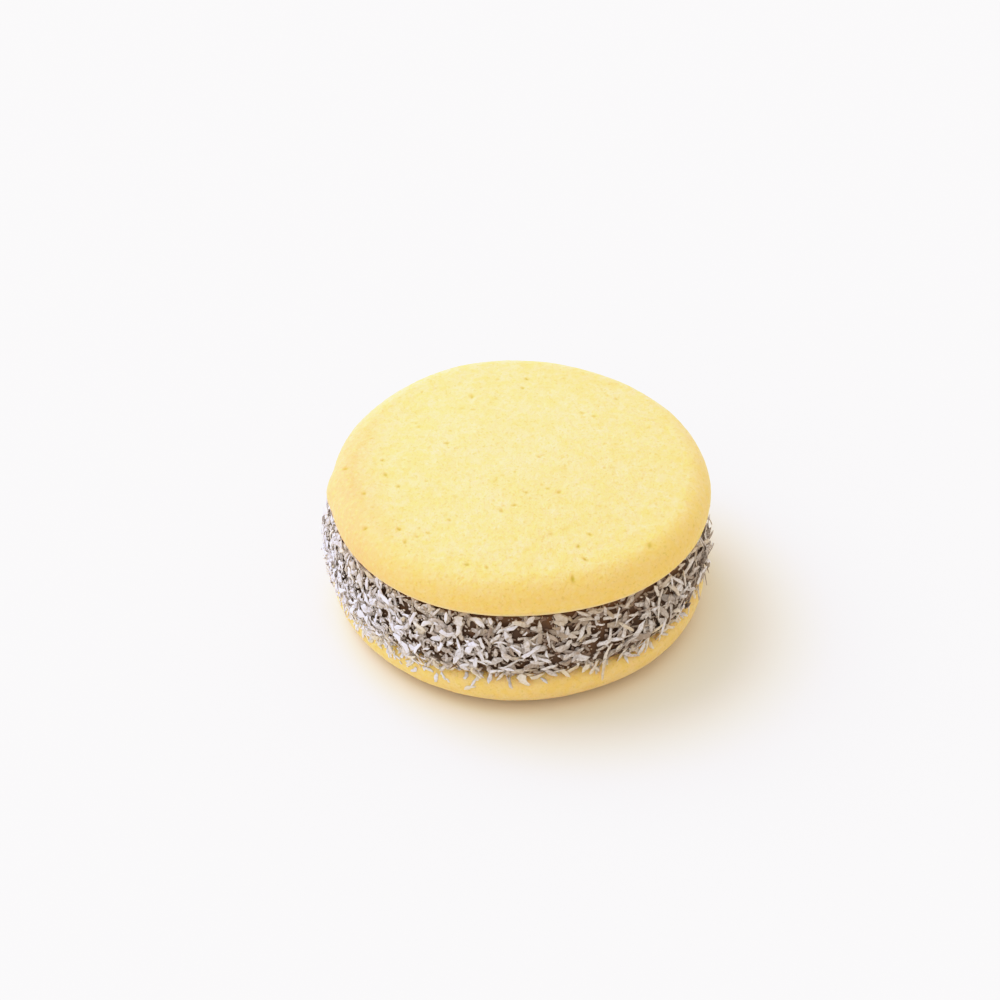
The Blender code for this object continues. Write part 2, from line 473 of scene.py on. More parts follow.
@dataclass(frozen=True)
class Patch:
    """A stretch of an edge: the bearing of its middle and its width in degrees, and its strength."""

    bearing: float
    width: float
    strength: float

    def at(self, bearing: np.ndarray) -> np.ndarray:
        """How strong the patch is at a bearing in radians."""
        turn = (bearing - math.radians(self.bearing) + math.pi) % math.tau - math.pi
        return self.strength * np.exp(-((turn / math.radians(self.width)) ** 2))


def add_piece(name: str, data: bpy.types.Mesh, material: bpy.types.Material, node: str) -> None:
    """Links a mesh to the scene as a piece that stands for a node.

    Args:
        name: the piece's name.
        data: its mesh, in place.
        material: its finish.
        node: the node that it replaces.
    """
    piece = bpy.data.objects.new(name, data)
    data.materials.append(material)
    bpy.context.scene.collection.objects.link(piece)
    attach(piece, BODY)
    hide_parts(node)
    log.info("%s: %d vertices, %d faces", name, len(data.vertices), len(data.polygons))


def coordinates(data: bpy.types.Mesh) -> np.ndarray:
    """The positions of a mesh's vertices.

    Args:
        data: the mesh.

    Returns:
        One row for each vertex.
    """
    flat = np.zeros(len(data.vertices) * 3)
    data.vertices.foreach_get("co", flat)
    return flat.reshape(-1, 3)


def set_attribute(data: bpy.types.Mesh, name: str, values: np.ndarray) -> None:
    """Writes a number for each vertex, for the material to read."""
    layer = data.attributes.new(name, "FLOAT", "POINT")
    layer.data.foreach_set("value", np.asarray(values, dtype=np.float32))


@dataclass
class Biscuit:
    """One biscuit: a flat side towards the filling, a rounded edge and shoulder, and a low dome."""

    node: str
    facing: Facing
    radius: float
    crown: float
    spot_radius: float
    waves: tuple[Wave, ...]
    bulges: tuple[Patch, ...]
    browning_and_shade: tuple[Patch, ...]
    blush: tuple[Patch, ...]
    seed: int
    large_pores: tuple[Span, ...] = ()
    # How pale the foot of the edge is painted: a painted highlight
    foot_highlight: float = 0.0
    edge_rounding: float = 2.8 * MM
    shoulder_rounding: float = 4.6 * MM
    edge_zone: float = 0.80
    blush_zone: float = 0.58
    blush_fade: float = 2.2
    outer_zone: float = 0.30
    edge_browning: float = 0.15
    low_browning: float = 0.12
    foot_height: Span = (1.2 * MM, 2.0 * MM)
    pore_count: int = 150
    pore_zone: float = 0.92
    pore_size: Span = (0.18 * MM, 0.40 * MM)
    pore_depth: Span = (0.02 * MM, 0.17 * MM)
    pore_stretch: Span = (1.0, 1.9)
    large_pore: Span = (0.31 * MM, 0.17 * MM)
    reliefs: tuple[Relief, ...] = (
        Relief(13 * MM, 0.14 * MM, 1.7),
        Relief(3.4 * MM, 0.06 * MM, 5.1),
        Relief(0.9 * MM, 0.030 * MM, 9.3),
    )

    SUBDIVISIONS = 7
    FINE_SHARE = 0.45
    ARC_STEPS = 120

    def __post_init__(self) -> None:
        """Reads the height of the side that faces the filling, and works out the outline."""
        low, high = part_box(self.node)
        self.flat_side = low.z if self.facing is Facing.UP else high.z
        self.outline = self.profile()
        self.steps = np.linalg.norm(np.diff(self.outline, axis=0), axis=1)
        self.slopes = np.gradient(self.outline, axis=0)

    def profile(self) -> np.ndarray:
        """Closely spaced points of the outline.

        Returns:
            Rows of (radius, height) from the middle of the flat side round to the middle of the dome.
        """
        rise = self.crown - self.edge_rounding
        across = self.radius - self.shoulder_rounding
        sphere = (across**2 + rise**2 - self.shoulder_rounding**2) / (2 * (rise - self.shoulder_rounding))
        slope = math.asin(across / (sphere - self.shoulder_rounding))
        share = np.linspace(0, 1, self.ARC_STEPS)
        edge = share * math.pi / 2
        shoulder = share * (math.pi / 2 - slope)
        shoulder_end = across + self.shoulder_rounding * math.cos(math.pi / 2 - slope)
        dome = shoulder_end + (self.spot_radius - shoulder_end) * share
        spot_height = self.crown - sphere + math.sqrt(sphere**2 - self.spot_radius**2)
        pieces = [
            ((self.radius - self.edge_rounding) * share, 0 * share),
            (
                self.radius - self.edge_rounding * (1 - np.sin(edge)),
                self.edge_rounding * (1 - np.cos(edge)),
            ),
            (
                across + self.shoulder_rounding * np.cos(shoulder),
                self.edge_rounding + self.shoulder_rounding * np.sin(shoulder),
            ),
            (dome, self.crown - sphere + np.sqrt(sphere**2 - dome**2)),
        ]
        if self.spot_radius > 0:
            pieces.append((self.spot_radius * (1 - share), spot_height + 0 * share))
        points = np.concatenate([np.stack(piece, axis=1) for piece in pieces])
        apart = np.linalg.norm(np.diff(points, axis=0), axis=1) > 0
        return points[np.concatenate(([True], apart))]

    def ball(self) -> bpy.types.Mesh:
        """A unit ball with finer faces on the part that becomes the dome and the edge.

        Returns:
            The ball's mesh.
        """
        mesh = bmesh.new()
        bmesh.ops.create_icosphere(mesh, subdivisions=self.SUBDIVISIONS, radius=1.0)
        finer = 1 - 2 * self.FINE_SHARE
        edges = [edge for edge in mesh.edges if min(end.co.z for end in edge.verts) > finer]
        bmesh.ops.subdivide_edges(mesh, edges=edges, cuts=1, use_grid_fill=True)
        for vertex in mesh.verts:
            vertex.co.normalize()
        return mesh_data(mesh, self.node)

    def outline_shares(self) -> np.ndarray:
        """How the ball's surface is shared out along the outline.

        Returns:
            For each point of the outline, the share of the ball's surface below it.
        """
        middles = (self.outline[1:, 0] + self.outline[:-1, 0]) / 2
        bands = self.steps * middles
        flat = self.outline[1:, 1] <= 0
        bands[flat] *= (1 - self.FINE_SHARE) / bands[flat].sum()
        bands[~flat] *= self.FINE_SHARE / bands[~flat].sum()
        return np.concatenate(([0.0], np.cumsum(bands)))

    def pores(self, points: np.ndarray) -> np.ndarray:
        """How deep the small pores are at each point.

        Args:
            points: positions on the biscuit.

        Returns:
            Depths below the surface.
        """
        draw = random.Random(self.seed)
        depths = np.zeros(len(points))
        spots = [(x * MM, y * MM, *self.large_pore) for x, y in self.large_pores]
        for _ in range(self.pore_count):
            out = self.pore_zone * self.radius * math.sqrt(draw.random())
            bearing = swing(draw, math.pi)
            size = between(self.pore_size, draw.random() ** 2)
            depth = between(self.pore_depth, draw.random() ** 3)
            spots.append((out * math.cos(bearing), out * math.sin(bearing), size, depth))
        for x, y, size, depth in spots:
            turn = draw.uniform(0, math.pi)
            stretch = draw.uniform(*self.pore_stretch)
            gap_x = points[:, 0] - x
            gap_y = points[:, 1] - y
            along = gap_x * math.cos(turn) + gap_y * math.sin(turn)
            across = gap_y * math.cos(turn) - gap_x * math.sin(turn)
            reach = (along / (size * stretch)) ** 2 + (across / size) ** 2
            depths = np.maximum(depths, depth * np.exp(-reach))
        return depths

    def unevenness(self, bearing: np.ndarray) -> np.ndarray:
        """How far the outline stands out of its circle."""
        return sum(swell.at(bearing) for swell in (*self.waves, *self.bulges))

    def near_edge(self, out: np.ndarray, zone: float) -> np.ndarray:
        """A share that rises from 0, where the zone starts on the dome, to 1 at the edge."""
        return ramp(out / self.radius, zone, 1)

    def raised(self, flat: np.ndarray, out: np.ndarray, pores: np.ndarray) -> np.ndarray:
        """How far the fine relief stands out at each point, which is nowhere on the flat sides.

        Args:
            flat: the points without relief, over the flat side.
            out: their distances from the axis.
            pores: how deep the pores are there.

        Returns:
            Heights, both up and down.
        """
        raised = sum(relief.at(flat + self.seed * MM) for relief in self.reliefs) - pores
        raised *= ramp(flat[:, 2], 0, self.edge_rounding)
        if self.spot_radius > 0:
            raised *= ramp(out, self.spot_radius, self.spot_radius + self.edge_rounding)
        return raised

    def paint(self, data: bpy.types.Mesh, flat: np.ndarray, out: np.ndarray, pores: np.ndarray) -> None:
        """Writes the attributes that the crumb's finish reads.

        Args:
            data: the biscuit's mesh.
            flat: its points without relief, over the flat side.
            out: their distances from the axis.
            pores: how deep the pores are there.
        """
        bearing = np.arctan2(flat[:, 1], flat[:, 0])
        height = flat[:, 2]
        edge = self.near_edge(out, self.edge_zone)
        low = np.clip(1 - height / self.crown, 0, 1)
        browning_and_shade = self.edge_browning * edge**2 + self.low_browning * low
        browning_and_shade += edge * sum(patch.at(bearing) for patch in self.browning_and_shade)
        blush = self.near_edge(out, self.blush_zone) ** self.blush_fade
        blush *= sum(patch.at(bearing) for patch in self.blush)
        foot_low, foot_high = self.foot_height
        # The pits, darkest where deepest: painted shade in them
        set_attribute(data, "pore_and_shade", np.clip(pores / self.pore_depth[1], 0, 1))
        set_attribute(data, "browning_and_shade", np.clip(browning_and_shade, 0, 1))
        set_attribute(data, "blush", np.clip(blush, 0, 1))
        # The foot: painted highlight, palest at the flat side
        set_attribute(data, "foot", self.foot_highlight * ramp(height, foot_high, foot_low))
        set_attribute(data, "outer", self.near_edge(out, self.outer_zone))

    def build(self, material: bpy.types.Material) -> None:
        """Models the biscuit.

        Args:
            material: the crumb's finish.
        """
        data = self.ball()
        unit = coordinates(data)
        below = (unit[:, 2] + 1) / 2
        bearing = np.arctan2(unit[:, 1], unit[:, 0])
        shares = self.outline_shares()
        tangents = self.slopes / np.linalg.norm(self.slopes, axis=1)[:, None]
        out, height = (np.interp(below, shares, self.outline[:, i]) for i in (0, 1))
        lean_out = np.interp(below, shares, tangents[:, 1])
        lean_up = np.interp(below, shares, -tangents[:, 0])
        flat = polar_points(bearing, out, height)
        pores = self.pores(flat) * (height > self.edge_rounding)
        raised = self.raised(flat, out, pores)
        out_raised = out + self.unevenness(bearing) * ramp(out, self.spot_radius, self.radius)
        out_raised += raised * lean_out
        level = self.flat_side + (height + raised * lean_up) * self.facing.value
        data.vertices.foreach_set("co", polar_points(bearing, out_raised, level).ravel())
        if self.facing is Facing.DOWN:
            data.flip_normals()
        data.shade_smooth()
        self.paint(data, flat, out, pores)
        add_piece(f"{self.node}_crumb", data, material, self.node)

    def on_edge(self, bearing: float, along: float) -> tuple[Vector, Vector]:
        """A point on the rounded edge.

        Args:
            bearing: its bearing round the axis.
            along: its distance along the outline from the flat side's rim.

        Returns:
            The point, and the direction straight out of the surface.
        """
        lengths = np.concatenate(([0.0], np.cumsum(self.steps))) - (self.radius - self.edge_rounding)
        out, height = (float(np.interp(along, lengths, self.outline[:, i])) for i in (0, 1))
        run, rise = (float(np.interp(along, lengths, self.slopes[:, i])) for i in (0, 1))
        out += float(self.unevenness(bearing))
        point = polar(bearing, out, self.flat_side + height * self.facing.value)
        return point, polar(bearing, rise, -run * self.facing.value).normalized()

    def clearance(self, point: Vector) -> float:
        """Distance from a point outside the biscuit, on the filling's side of the dome, to its edge.

        Args:
            point: the point.

        Returns:
            The distance, which is negative inside the biscuit.
        """
        bearing = math.atan2(point.y, point.x)
        above = (self.flat_side - point.z) * self.facing.value
        out = math.hypot(point.x, point.y)
        edge = self.radius + float(self.unevenness(bearing)) - self.edge_rounding
        if out <= edge:
            return above
        if above >= -self.edge_rounding:
            return math.hypot(out - edge, above + self.edge_rounding) - self.edge_rounding
        return out - edge - self.edge_rounding


@dataclass
class Filling:
    """The caramel disc between the biscuits, widest at its belly and drawn in at its foot and neck."""

    lower: Biscuit
    upper: Biscuit
    foot_radius: float = 31.0 * MM
    belly_radius: float = 31.9 * MM
    neck_radius: float = 30.2 * MM
    belly_share: float = 0.33
    rim_rounding: float = 0.5 * MM
    contact_gap: float = 0.02 * MM
    thin_depth: float = 2.2 * MM
    reliefs: tuple[Relief, ...] = (
        Relief(5.0 * MM, 0.22 * MM, 2.9),
        Relief(1.5 * MM, 0.08 * MM, 6.4),
    )

    NODE = "filling"
    SIDES = 360
    WALL_STEPS = 44
    STEP = 0.1 * MM
    SAME_POINT = 0.001 * MM

    def __post_init__(self) -> None:
        """Notes the heights of the two flat sides that it lies between."""
        self.low = self.lower.flat_side
        self.high = self.upper.flat_side

    def height_at(self, share: float) -> float:
        """The height a share of the way up the side."""
        return between((self.low, self.high), share)

    def share_at(self, height: float) -> float:
        """How far up the side a height is, from 0 to 1."""
        return (height - self.low) / (self.high - self.low)

    def radius_at(self, height: float) -> float:
        """Radius of the side at a height.

        Args:
            height: the height above the floor.

        Returns:
            The distance from the axis.
        """
        share = self.share_at(height)
        if share < self.belly_share:
            end, away = self.foot_radius, 1 - share / self.belly_share
        else:
            end, away = self.neck_radius, (share - self.belly_share) / (1 - self.belly_share)
        return between((self.belly_radius, end), away**2)

    def outward(self, bearing: float, height: float) -> Vector:
        """The unit direction straight out of the side, at a bearing and a height above the floor."""
        slope = (self.radius_at(height + self.STEP) - self.radius_at(height - self.STEP)) / (2 * self.STEP)
        return polar(bearing, 1.0, -slope).normalized()

    def outline(self) -> list[Span]:
        """Points of the outline, as (radius, height), from the axis round the side and back to it.

        Returns:
            The points.
        """
        low = self.low + self.contact_gap
        high = self.high - self.contact_gap
        rim = self.rim_rounding
        wall = high - low - 2 * rim
        heights = [low + rim + wall * step / self.WALL_STEPS for step in range(self.WALL_STEPS + 1)]
        side = [(self.radius_at(height), height) for height in heights]
        under = [(0.0, low), (self.radius_at(low) - rim, low)]
        return under + side + [(self.radius_at(high) - rim, high), (0.0, high)]

    def build(self, material: bpy.types.Material) -> None:
        """Models the caramel.

        Args:
            material: the caramel's finish.
        """
        outline = self.outline()
        mesh = bmesh.new()
        points = [mesh.verts.new((out, 0.0, height)) for out, height in outline]
        edges = [mesh.edges.new(pair) for pair in zip(points, points[1:])]
        turn = {"cent": (0, 0, 0), "axis": (0, 0, 1), "angle": math.tau}
        bmesh.ops.spin(mesh, geom=points + edges, steps=self.SIDES, use_merge=True, **turn)
        bmesh.ops.remove_doubles(mesh, verts=mesh.verts, dist=self.SAME_POINT)
        bmesh.ops.recalc_face_normals(mesh, faces=mesh.faces)
        data = mesh_data(mesh, self.NODE)
        spots = coordinates(data)
        out = np.hypot(spots[:, 0], spots[:, 1])
        on_side = out > self.neck_radius - 2 * self.rim_rounding
        raised = sum(relief.at(spots) for relief in self.reliefs) * on_side
        spots[:, :2] *= (1 + raised / np.maximum(out, self.rim_rounding))[:, None]
        data.vertices.foreach_set("co", spots.ravel())
        data.shade_smooth()
        top = outline[-1][1]
        set_attribute(data, "thin", ramp(spots[:, 2], top - self.thin_depth, top))
        add_piece("caramel", data, material, self.NODE)


@dataclass(frozen=True)
class FlakeCut:
    """One kind of finer coconut: how many are tried, their sizes between two limits, and their bends."""

    count: int
    seed: int
    length: Span
    width: Span
    thickness: Span
    tip: Span
    bow: Span
    cup: Span
    sweep: float
    twist: float
    lift: Span
    sink: Span
    tone: Span
    soaking: Span
    scatter: float = 1.0
    fullness: Span = (3.0, 12.0)
    skew: float = 1.8


@dataclass(frozen=True)
class EdgeCut:
    """Flakes that lie flat on the lower biscuit's edge: how many, how far down it, and their sizes."""

    count: int
    seed: int
    zone: Span
    length: Span
    width: Span
    turn_spread: float
    sink: float
    tone: Span
    thickness: Span = (0.08 * MM, 0.18 * MM)
    tip: Span = (0.1, 0.8)
    sweep: float = 0.1
    fullness: Span = (2.0, 6.0)
    skew: float = 1.0


@dataclass(frozen=True)
class FlakeRange:
    """How far the node's flakes of one zone lean off the side, and how long and wide they are."""

    lift: Span
    length: Span
    width: Span


@dataclass(frozen=True)
class Stand:
    """How a flake stands on the filling's side.

    Its turn is 0 along the side and a quarter turn straight up. Its lift is how far it leans off the side,
    and its sink how deep its root is in the caramel.
    """

    bearing: float
    height: float
    turn: float
    lift: float
    length: float
    sink: float


@dataclass(frozen=True, kw_only=True)
class FlakeForm:
    """The form of one flake, with its tips and skews at the root and at the free end."""

    length: float
    width: float
    thickness: float
    tips: Span
    bow: float = 0.0
    cup: float = 0.0
    sweep: float
    twist: float = 0.0
    fullness: float
    skews: Span
    ragged: float

    WANDER = 10.0
    EDGE_SHIFT = 2.3
    RAGGEDNESS = 0.24
    THIN_TIP = 0.4

    def bend(self, unit: np.ndarray) -> np.ndarray:
        """Tapers, bows, cups, sweeps and twists a unit strip, and makes its long edges ragged.

        Args:
            unit: the strip's points, within 0.5 of the origin each way.

        Returns:
            The flake's points, along X, with its underside near z = 0.
        """
        along, across, up = unit.T
        tip = np.where(along > 0, self.tips[1], self.tips[0])
        full = 1 - np.abs(2 * along) ** self.fullness
        share = tip + (1 - tip) * full
        wander = np.sin(self.WANDER * along + np.where(across > 0, 1.0, self.EDGE_SHIFT) * self.ragged)
        side = across * self.width * share * (1 + self.RAGGEDNESS * wander)
        over = (up + 0.5) * self.thickness * between((self.THIN_TIP, 1.0), share)
        over += self.cup * share * (2 * across) ** 2
        skew = np.where(along > 0, self.skews[1], self.skews[0]) * np.abs(2 * along) * side
        turn = self.twist * along
        level = side * np.cos(turn) - over * np.sin(turn) + self.sweep * 4 * along**2
        raised = side * np.sin(turn) + over * np.cos(turn) + self.bow * (1 - 4 * along**2)
        return np.stack((along * self.length + skew, level, raised), axis=1)

    def corners(self) -> list[Vector]:
        """The flake's ends and edges, where it may touch something.

        Returns:
            The corners, along X, with the underside on z = 0.
        """
        over = (0.0, self.thickness + max(self.bow, self.cup, 0.0))
        spots = [(side * self.length / 2, 0.0) for side in (-1, 1)]
        spots += [(0.0, side * self.width / 2) for side in (-1, 1)]
        return [Vector((x, y, z)) for x, y in spots for z in over]


class FlakePile:
    """Flakes of one kind, gathered into one mesh."""

    def __init__(self, kind: FlakeKind, template: bpy.types.Mesh) -> None:
        """Starts an empty pile.

        Args:
            kind: the kind of coconut.
            template: the unit strip or lump that every flake is bent from.
        """
        self.kind = kind
        self.template = template
        self.unit = coordinates(template)
        self.flakes: list[np.ndarray] = []
        self.shades: list[tuple[float, float, float]] = []

    def add(self, points: np.ndarray, tone: float, warmth: float, soaking: float) -> None:
        """Adds a flake in its place: how white and how cream it is, and how much caramel it took up."""
        self.flakes.append(points)
        self.shades.append((tone, warmth, soaking))

    def stack(self) -> bpy.types.Mesh:
        """Copies the template, doubling the stack each time, until there is one for each flake.

        Returns:
            A mesh with the copies' points in order.
        """
        mesh = bmesh.new()
        mesh.from_mesh(self.template)
        wanted = len(self.flakes) * len(self.unit)
        while len(mesh.verts) < wanted:
            mesh.verts.index_update()
            limit = wanted - len(mesh.verts)
            copied = [vertex for vertex in mesh.verts if vertex.index < limit]
            copied += [edge for edge in mesh.edges if edge.verts[0].index < limit]
            copied += [face for face in mesh.faces if face.verts[0].index < limit]
            bmesh.ops.duplicate(mesh, geom=copied)
        return mesh_data(mesh, f"coconut_{self.kind.value}")

    def finish(self, material: bpy.types.Material) -> None:
        """Makes the pile a piece.

        Args:
            material: the coconut's finish.
        """
        data = self.stack()
        data.vertices.foreach_set("co", np.concatenate(self.flakes).ravel())
        data.shade_smooth()
        shades = np.repeat(np.array(self.shades), len(self.unit), axis=0)
        for column, name in enumerate(("tone", "warmth", "soaking")):
            set_attribute(data, name, shades[:, column])
        log.info("%d %s", len(self.flakes), self.kind.value)
        add_piece(data.name, data, material, Filling.NODE)


@dataclass
class CoconutLayer:
    """What each layer of coconut on the filling's side needs: strips, places on the side and shades."""

    filling: Filling
    lower: Biscuit
    upper: Biscuit
    fit_attempts: int = 8
    flat_share: float = 0.72
    thin_edge: float = -0.2
    foot_share: float = 0.16
    rim_share: float = 0.55
    foot_tone: Span = (0.5, 1.0)
    cream_chance: float = 0.02
    # Under the rim flakes are made creamier, warmer and browner: painted shade of the upper biscuit's
    # overhang
    rim_shadow_cream_chance: float = 0.25
    foot_cream_chance: float = 0.7
    cream_warmth: Span = (0.2, 0.65)
    plain_warmth: float = 0.08
    rim_shadow_warmth: float = 0.35
    rim_shadow_soaking: float = 0.3
    most_soaked: float = 0.9

    STRIP_EDGE = 0.49
    SAME_POINT = 0.01

    def strip(self, segments: int) -> bpy.types.Mesh:
        """A unit strip along X, flat in the middle and thin at its long edges, cut across at even steps.

        Args:
            segments: how many lengths it is cut into.

        Returns:
            The strip's mesh.
        """
        mesh = bmesh.new()
        bmesh.ops.create_cube(mesh, size=1.0)
        cuts = [((cut / segments - 0.5, 0, 0), (1, 0, 0)) for cut in range(1, segments)]
        cuts += [((0, side * self.flat_share / 2, 0), (0, 1, 0)) for side in (-1, 1)]
        for middle, normal in cuts:
            whole = mesh.verts[:] + mesh.edges[:] + mesh.faces[:]
            bmesh.ops.bisect_plane(mesh, geom=whole, plane_co=middle, plane_no=normal)
        for vertex in mesh.verts:
            if abs(vertex.co.y) > self.STRIP_EDGE:
                vertex.co.z = self.thin_edge
        bmesh.ops.remove_doubles(mesh, verts=mesh.verts, dist=self.SAME_POINT)
        bmesh.ops.recalc_face_normals(mesh, faces=mesh.faces)
        return mesh_data(mesh, "strip")

    def place(self, stand: Stand) -> Matrix:
        """Where a flake lies that has its root on the filling's side.

        Args:
            stand: how it stands there.

        Returns:
            The flake's matrix.
        """
        outward = self.filling.outward(stand.bearing, stand.height)
        round_wall = round_axis(stand.bearing)
        up_wall = outward.cross(round_wall)
        level = round_wall * math.cos(stand.turn) + up_wall * math.sin(stand.turn)
        along = level * math.cos(stand.lift) + outward * math.sin(stand.lift)
        across = outward.cross(along).normalized()
        turned = Matrix((along, across, along.cross(across))).transposed().to_4x4()
        anchor = polar(stand.bearing, self.filling.radius_at(stand.height), stand.height)
        return Matrix.Translation(anchor - outward * stand.sink + along * stand.length / 2) @ turned

    def is_clear(self, point: Vector, clearance: float, reach: float) -> bool:
        """Whether a point keeps its distance from both biscuits and lies within reach of the axis."""
        near = min(self.lower.clearance(point), self.upper.clearance(point))
        return near >= clearance and math.hypot(point.x, point.y) <= reach

    def fitted(self, stand: Stand, corners: list[Vector], clearance: float, reach: float) -> Matrix | None:
        """Turns a flake towards the level until it keeps clear of both biscuits and within the coat.

        Args:
            stand: how it stands on the side at first.
            corners: its corners before it is placed.
            clearance: the least distance to a biscuit.
            reach: the farthest from the axis.

        Returns:
            Its matrix, or None if it never fits.
        """
        level = 0.0 if abs(stand.turn) < math.pi / 2 else math.copysign(math.pi, stand.turn)
        for attempt in range(self.fit_attempts):
            turn = between((stand.turn, level), attempt / self.fit_attempts)
            place = self.place(replace(stand, turn=turn))
            if all(self.is_clear(place @ corner, clearance, reach) for corner in corners):
                return place
        return None

    def shade(
        self, draw: random.Random, height: float, tone: float, soaking: float = 0.0
    ) -> tuple[float, float, float]:
        """The shade of a flake, more often cream at the coat's foot, and creamier and browner under the rim
        as painted shade.

        Args:
            draw: the random draws.
            height: its root's height above the floor.
            tone: how white it is elsewhere.
            soaking: how much caramel it has taken up elsewhere.

        Returns:
            Its tone, warmth and soaking.
        """
        upward = self.filling.share_at(height)
        # Painted shade under the upper biscuit's overhang, strongest just below the rim
        rim_shadow = max(upward - self.rim_share, 0) / (1 - self.rim_share)
        at_foot = upward < self.foot_share
        chance = self.cream_chance + self.rim_shadow_cream_chance * rim_shadow + self.foot_cream_chance * at_foot
        creamy = draw.random() < chance
        plain_warmth = (0.0, self.plain_warmth + self.rim_shadow_warmth * rim_shadow)
        warmth = draw.uniform(*(self.cream_warmth if creamy else plain_warmth))
        soaking = min(soaking + self.rim_shadow_soaking * rim_shadow * draw.random(), self.most_soaked)
        return between(self.foot_tone, tone) if at_foot else tone, warmth, soaking


@dataclass
class LargeFlakes(CoconutLayer):
    """The node's own large flakes, laid by the node's rule in thinner and more natural forms."""

    # The node's rule
    seed: int = 7
    thickness: float = 0.4 * MM
    sink: float = 0.24 * MM
    bow: float = 0.16 * MM
    clearance: float = 0.42 * MM
    reach: float = 33.8 * MM
    pointed_share: float = 0.5
    pointed_cut: float = 0.22
    blunt_end: float = 0.6
    side_rows: int = 4
    side_columns: int = 72
    side_scatter: float = 0.36
    side_margin: float = 0.7 * MM
    side: FlakeRange = FlakeRange(
        lift=(math.radians(3), math.radians(26)),
        length=(2.6 * MM, 4.2 * MM),
        width=(0.8 * MM, 1.35 * MM),
    )
    skirt_count: int = 46
    skirt_scatter: float = 0.3
    skirt_spread: float = math.radians(42)
    skirt_height: Span = (0.9 * MM, 2.0 * MM)
    skirt: FlakeRange = FlakeRange(
        lift=(math.radians(20), math.radians(34)),
        length=(2.4 * MM, 3.6 * MM),
        width=(0.6 * MM, 1.0 * MM),
    )

    # What the node doesn't have
    segments: int = 6
    form_seed: int = 23
    kept_width: Span = (0.55, 1.0)
    kept_thickness: Span = (0.35, 0.6)
    pointed_tips: Span = (0.25, 0.18)
    blunt_tip: Span = (0.4, 0.9)
    extra_bow: float = 0.14 * MM
    cup: float = 0.16 * MM
    sweep: float = 0.2 * MM
    twist: float = 0.5
    fullness: Span = (3.0, 9.0)
    skew: float = 1.0
    tone: Span = (0.4, 1.0)

    def __post_init__(self) -> None:
        """Starts the node's own random draws, and those of what it doesn't have."""
        self.draw = random.Random(self.seed)
        self.forms = random.Random(self.form_seed)

    def corners(self, length: float, width: float, pointed: bool, bow: float) -> list[Vector]:
        """The corners of one of the node's flakes.

        Args:
            length: its length.
            width: its width.
            pointed: whether it ends in points.
            bow: how far its middle stands up.

        Returns:
            The corners, along X, with the underside on z = 0.
        """
        over = (0.0, self.thickness)
        if not pointed:
            ends = ((-length / 2, width * self.blunt_end), (length / 2, width))
            spots = [(x, side * across / 2) for x, across in ends for side in (-1, 1)]
            return [Vector((x, y, z)) for x, y in spots for z in over]
        tips = [Vector((side * length / 2, 0, 0)) for side in (-1, 1)]
        cut = self.pointed_cut * length
        middle = [(end * cut, side * width / 2) for end in (-1, 1) for side in (-1, 1)]
        return tips + [Vector((x, y, z + bow)) for x, y in middle for z in over]

    def form(self, length: float, width: float, pointed: bool, bow: float) -> FlakeForm:
        """The thinner form of one of the node's flakes.

        Args:
            length: its length.
            width: its width in the node.
            pointed: whether it ends in points.
            bow: how far its middle stands up in the node.

        Returns:
            The form.
        """
        forms = self.forms
        return FlakeForm(
            length=length,
            width=width * forms.uniform(*self.kept_width),
            thickness=self.thickness * forms.uniform(*self.kept_thickness),
            tips=self.pointed_tips if pointed else (self.blunt_end, forms.uniform(*self.blunt_tip)),
            bow=bow + forms.uniform(0, self.extra_bow),
            cup=forms.uniform(0, self.cup),
            sweep=swing(forms, self.sweep),
            twist=swing(forms, self.twist),
            fullness=forms.uniform(*self.fullness),
            skews=(swing(forms, self.skew), swing(forms, self.skew)),
            ragged=forms.uniform(0, math.tau),
        )

    def add_flake(
        self, pile: FlakePile, bearing: float, height: float, turn: float, sizes: FlakeRange
    ) -> None:
        """Adds one of the node's flakes where it fits, or leaves it out.

        Args:
            pile: the large flakes.
            bearing: its root's bearing.
            height: its root's height above the floor.
            turn: which way it points.
            sizes: its zone's sizes.
        """
        spans = (sizes.lift, sizes.length, sizes.width)
        lift, length, width = [self.draw.uniform(*span) for span in spans]
        pointed = self.draw.random() < self.pointed_share
        bow = self.bow * self.draw.random()
        stand = Stand(bearing, height, turn, lift, length, self.sink)
        corners = self.corners(length, width, pointed, bow)
        place = self.fitted(stand, corners, self.clearance, self.reach)
        if place is not None:
            form = self.form(length, width, pointed, bow)
            shade = self.shade(self.forms, height, self.forms.uniform(*self.tone))
            pile.add(moved(form.bend(pile.unit), place), *shade)

    def build(self, material: bpy.types.Material) -> None:
        """Lays the flakes on the side and the skirt of flakes at its foot.

        Args:
            material: the coconut's finish.
        """
        pile = FlakePile(FlakeKind.FLAKE, self.strip(self.segments))
        draw = self.draw
        low = self.filling.low + self.side_margin
        high = self.filling.high - self.side_margin
        for row in range(self.side_rows):
            for column in range(self.side_columns):
                across = column + row % 2 / 2 + swing(draw, self.side_scatter)
                upward = row + 0.5 + swing(draw, self.side_scatter)
                bearing = math.tau * across / self.side_columns
                height = low + (high - low) * upward / self.side_rows
                self.add_flake(pile, bearing, height, swing(draw, math.pi), self.side)
        for number in range(self.skirt_count):
            bearing = math.tau * (number + swing(draw, self.skirt_scatter)) / self.skirt_count
            height = self.filling.low + draw.uniform(*self.skirt_height)
            turn = -math.pi / 2 + swing(draw, self.skirt_spread)
            self.add_flake(pile, bearing, height, turn, self.skirt)
        pile.finish(material)


